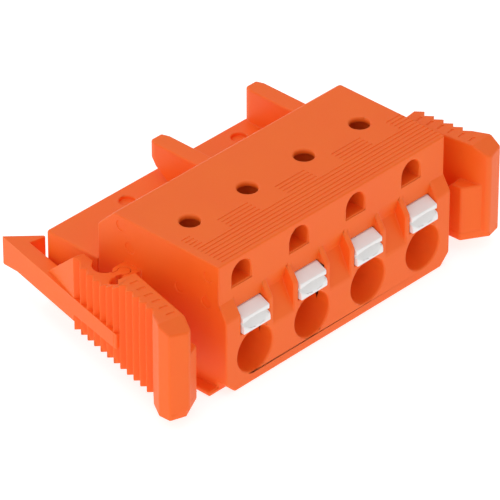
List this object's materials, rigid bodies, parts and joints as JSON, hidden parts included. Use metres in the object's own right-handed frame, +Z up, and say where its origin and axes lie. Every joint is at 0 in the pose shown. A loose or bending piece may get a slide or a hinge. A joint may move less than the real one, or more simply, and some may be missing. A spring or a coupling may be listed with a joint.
{
  "type": "pluggable wire connector",
  "caption": "Pluggable wire connector with round conductor entries, push buttons above them, a coded plug body behind and a squeeze latch hinged to each side.",
  "frame": {"origin": "middle of the block's flat underside, half way along the whole depth from wire face to plug face", "axes": "+X along the row of poles, +Y from the wire side to the plug side, +Z up"},
  "size_m": [0.0445, 0.0291, 0.0137],
  "materials": {
    "housing": "fine spark-eroded polyamide, orange",
    "latch": "fine spark-eroded polyamide, orange",
    "button": "smooth moulded, off-white",
    "spring_steel": "bright rolled strip",
    "contact_metal": "tin-plated copper alloy, satin"
  },
  "bodies": {
    "base": {"front_housing": "housing", "rear_housing": "housing", "clamp_spring_1": "spring_steel", "contact_1": "contact_metal", "contact_spring_1": "spring_steel", "clamp_spring_2": "spring_steel", "contact_2": "contact_metal", "contact_spring_2": "spring_steel", "clamp_spring_3": "spring_steel", "contact_3": "contact_metal", "contact_spring_3": "spring_steel", "clamp_spring_4": "spring_steel", "contact_4": "contact_metal", "contact_spring_4": "spring_steel"},
    "left_latch_body": {"left_latch": "latch"},
    "right_latch_body": {"right_latch": "latch"},
    "button_body_1": {"button_1": "button"},
    "button_body_2": {"button_2": "button"},
    "button_body_3": {"button_3": "button"},
    "button_body_4": {"button_4": "button"}
  },
  "joints": [
    {"name": "left_latch_squeeze", "type": "hinge", "parent": "base", "child": "left_latch_body", "pos_m": [-0.01639, 0.0003, 0.006], "axis": [0, 0, 1], "range_deg": [0, 8], "stiffness_Nm_per_rad": 0.05},
    {"name": "right_latch_squeeze", "type": "hinge", "parent": "base", "child": "right_latch_body", "pos_m": [0.01639, 0.0003, 0.006], "axis": [0, 0, -1], "range_deg": [0, 8], "stiffness_Nm_per_rad": 0.05},
    {"name": "button_1_push", "type": "slide", "parent": "base", "child": "button_body_1", "axis": [0, 1, 0], "range_m": [0, 0.0015], "stiffness_N_per_m": 2000, "deforming": ["clamp_spring_1"]},
    {"name": "button_2_push", "type": "slide", "parent": "base", "child": "button_body_2", "axis": [0, 1, 0], "range_m": [0, 0.0015], "stiffness_N_per_m": 2000, "deforming": ["clamp_spring_2"]},
    {"name": "button_3_push", "type": "slide", "parent": "base", "child": "button_body_3", "axis": [0, 1, 0], "range_m": [0, 0.0015], "stiffness_N_per_m": 2000, "deforming": ["clamp_spring_3"]},
    {"name": "button_4_push", "type": "slide", "parent": "base", "child": "button_body_4", "axis": [0, 1, 0], "range_m": [0, 0.0015], "stiffness_N_per_m": 2000, "deforming": ["clamp_spring_4"]}
  ]
}
